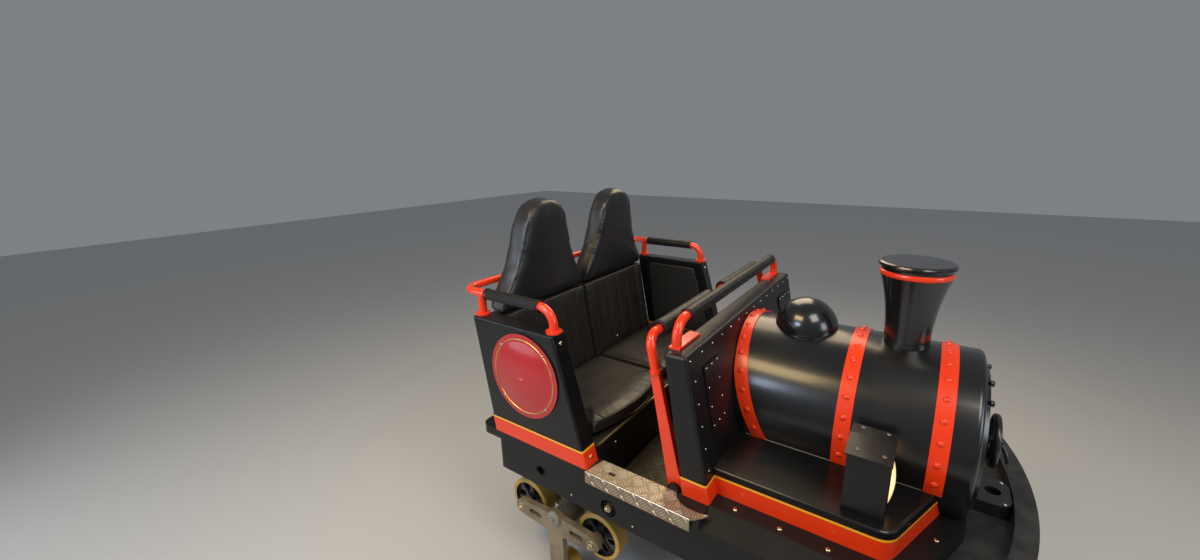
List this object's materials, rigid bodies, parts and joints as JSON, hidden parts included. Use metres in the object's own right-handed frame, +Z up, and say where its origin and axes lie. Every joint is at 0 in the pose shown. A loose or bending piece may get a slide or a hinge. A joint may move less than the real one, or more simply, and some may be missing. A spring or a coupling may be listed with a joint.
{
  "type": "roller coaster lead car",
  "caption": "Lead car of a small coaster styled as a steam engine: open tub, seat row with lap bars, cab wall, boiler with dome and chimney, and carriers whose wheels grip tubular rails.",
  "frame": {"origin": "Middle of the car seen from above, on the ground that its up-stop wheels stand on.", "axes": "+X forwards to the nose, +Y to the left, +Z up."},
  "size_m": [2.01, 1.3386, 1.61],
  "materials": {
    "tub_black": "satin black paint",
    "checker_plate": "worn checker plate",
    "bumper_rubber": "scuffed moulded rubber",
    "coupler_iron": "black coated iron",
    "carrier_iron": "dusty grey cast iron",
    "body_black": "glossy black paint",
    "band_red": "glossy red paint with a yellow line",
    "trim_vinyl": "black padded vinyl",
    "roundel_red": "glossy dark red enamel with a gold ring",
    "rail_red": "glossy red paint",
    "sleeve_foam": "black foam sleeve",
    "seat_vinyl": "black grained vinyl",
    "shell_vinyl": "black smooth vinyl",
    "boiler_black": "high gloss black paint",
    "lamp_glass": "warm lit lens",
    "wheel_tyre": "yellow polyurethane tyre on a black spoked hub"
  },
  "bodies": {
    "root": {"tub": "tub_black", "floor_plate": "checker_plate", "nose_bumper": "bumper_rubber", "front_coupler": "coupler_iron", "drawbar": "carrier_iron", "side_panels": "body_black", "foot_bands": "band_red", "panel_trims": "trim_vinyl", "roundels": "roundel_red", "side_rails": "rail_red", "rail_sleeves": "sleeve_foam", "seat_pan": "tub_black", "seat_bulkhead": "tub_black", "seat_cushions": "seat_vinyl", "seat_backs": "seat_vinyl", "seat_heads": "shell_vinyl", "cab_wall": "body_black", "hatch_plates": "body_black", "grab_bar": "rail_red", "grab_sleeve": "sleeve_foam", "boiler": "boiler_black", "boiler_hoops": "band_red", "smokebox_door": "boiler_black", "handwheel": "coupler_iron", "dome": "boiler_black", "chimney": "boiler_black", "chimney_ring": "band_red", "chimney_lid": "boiler_black", "running_boards": "body_black", "headlamps": "body_black", "lamp_lenses": "lamp_glass", "steps": "checker_plate", "pedals": "carrier_iron", "underframe": "carrier_iron", "wheel_carriers": "carrier_iron"},
    "road_wheel_rr1": {"road_wheel_rr1": "wheel_tyre"},
    "road_wheel_rr2": {"road_wheel_rr2": "wheel_tyre"},
    "upstop_rr": {"upstop_rr": "wheel_tyre"},
    "guide_rr": {"guide_rr": "wheel_tyre"},
    "road_wheel_rl1": {"road_wheel_rl1": "wheel_tyre"},
    "road_wheel_rl2": {"road_wheel_rl2": "wheel_tyre"},
    "upstop_rl": {"upstop_rl": "wheel_tyre"},
    "guide_rl": {"guide_rl": "wheel_tyre"},
    "road_wheel_fr1": {"road_wheel_fr1": "wheel_tyre"},
    "road_wheel_fr2": {"road_wheel_fr2": "wheel_tyre"},
    "upstop_fr": {"upstop_fr": "wheel_tyre"},
    "guide_fr": {"guide_fr": "wheel_tyre"},
    "road_wheel_fl1": {"road_wheel_fl1": "wheel_tyre"},
    "road_wheel_fl2": {"road_wheel_fl2": "wheel_tyre"},
    "upstop_fl": {"upstop_fl": "wheel_tyre"},
    "guide_fl": {"guide_fl": "wheel_tyre"},
    "lap_bar_right": {"lap_bar_right": "rail_red", "lap_pad_right": "sleeve_foam"},
    "lap_bar_left": {"lap_bar_left": "rail_red", "lap_pad_left": "sleeve_foam"}
  },
  "joints": [
    {"name": "road_wheel_rr1_spin", "type": "hinge", "parent": "root", "child": "road_wheel_rr1", "pos_m": [-0.696, -0.5, 0.302], "axis": [0, 1, 0], "continuous": true},
    {"name": "road_wheel_rr2_spin", "type": "hinge", "parent": "root", "child": "road_wheel_rr2", "pos_m": [-0.32, -0.5, 0.302], "axis": [0, 1, 0], "continuous": true},
    {"name": "upstop_rr_spin", "type": "hinge", "parent": "root", "child": "upstop_rr", "pos_m": [-0.508, -0.5, 0.055], "axis": [0, 1, 0], "continuous": true},
    {"name": "guide_rr_spin", "type": "hinge", "parent": "root", "child": "guide_rr", "pos_m": [-0.508, -0.388, 0.157], "axis": [0, 0, 1], "continuous": true},
    {"name": "road_wheel_rl1_spin", "type": "hinge", "parent": "root", "child": "road_wheel_rl1", "pos_m": [-0.696, 0.5, 0.302], "axis": [0, 1, 0], "continuous": true},
    {"name": "road_wheel_rl2_spin", "type": "hinge", "parent": "root", "child": "road_wheel_rl2", "pos_m": [-0.32, 0.5, 0.302], "axis": [0, 1, 0], "continuous": true},
    {"name": "upstop_rl_spin", "type": "hinge", "parent": "root", "child": "upstop_rl", "pos_m": [-0.508, 0.5, 0.055], "axis": [0, 1, 0], "continuous": true},
    {"name": "guide_rl_spin", "type": "hinge", "parent": "root", "child": "guide_rl", "pos_m": [-0.508, 0.388, 0.157], "axis": [0, 0, 1], "continuous": true},
    {"name": "road_wheel_fr1_spin", "type": "hinge", "parent": "root", "child": "road_wheel_fr1", "pos_m": [0.404, -0.5, 0.302], "axis": [0, 1, 0], "continuous": true},
    {"name": "road_wheel_fr2_spin", "type": "hinge", "parent": "root", "child": "road_wheel_fr2", "pos_m": [0.78, -0.5, 0.302], "axis": [0, 1, 0], "continuous": true},
    {"name": "upstop_fr_spin", "type": "hinge", "parent": "root", "child": "upstop_fr", "pos_m": [0.592, -0.5, 0.055], "axis": [0, 1, 0], "continuous": true},
    {"name": "guide_fr_spin", "type": "hinge", "parent": "root", "child": "guide_fr", "pos_m": [0.592, -0.388, 0.157], "axis": [0, 0, 1], "continuous": true},
    {"name": "road_wheel_fl1_spin", "type": "hinge", "parent": "root", "child": "road_wheel_fl1", "pos_m": [0.404, 0.5, 0.302], "axis": [0, 1, 0], "continuous": true},
    {"name": "road_wheel_fl2_spin", "type": "hinge", "parent": "root", "child": "road_wheel_fl2", "pos_m": [0.78, 0.5, 0.302], "axis": [0, 1, 0], "continuous": true},
    {"name": "upstop_fl_spin", "type": "hinge", "parent": "root", "child": "upstop_fl", "pos_m": [0.592, 0.5, 0.055], "axis": [0, 1, 0], "continuous": true},
    {"name": "guide_fl_spin", "type": "hinge", "parent": "root", "child": "guide_fl", "pos_m": [0.592, 0.388, 0.157], "axis": [0, 0, 1], "continuous": true},
    {"name": "lap_bar_right_hinge", "type": "hinge", "parent": "root", "child": "lap_bar_right", "pos_m": [0.03, -0.546, 0.706], "axis": [0, -1, 0], "range_deg": [0, 45]},
    {"name": "lap_bar_left_hinge", "type": "hinge", "parent": "root", "child": "lap_bar_left", "pos_m": [0.03, 0.546, 0.706], "axis": [0, -1, 0], "range_deg": [0, 45]}
  ]
}
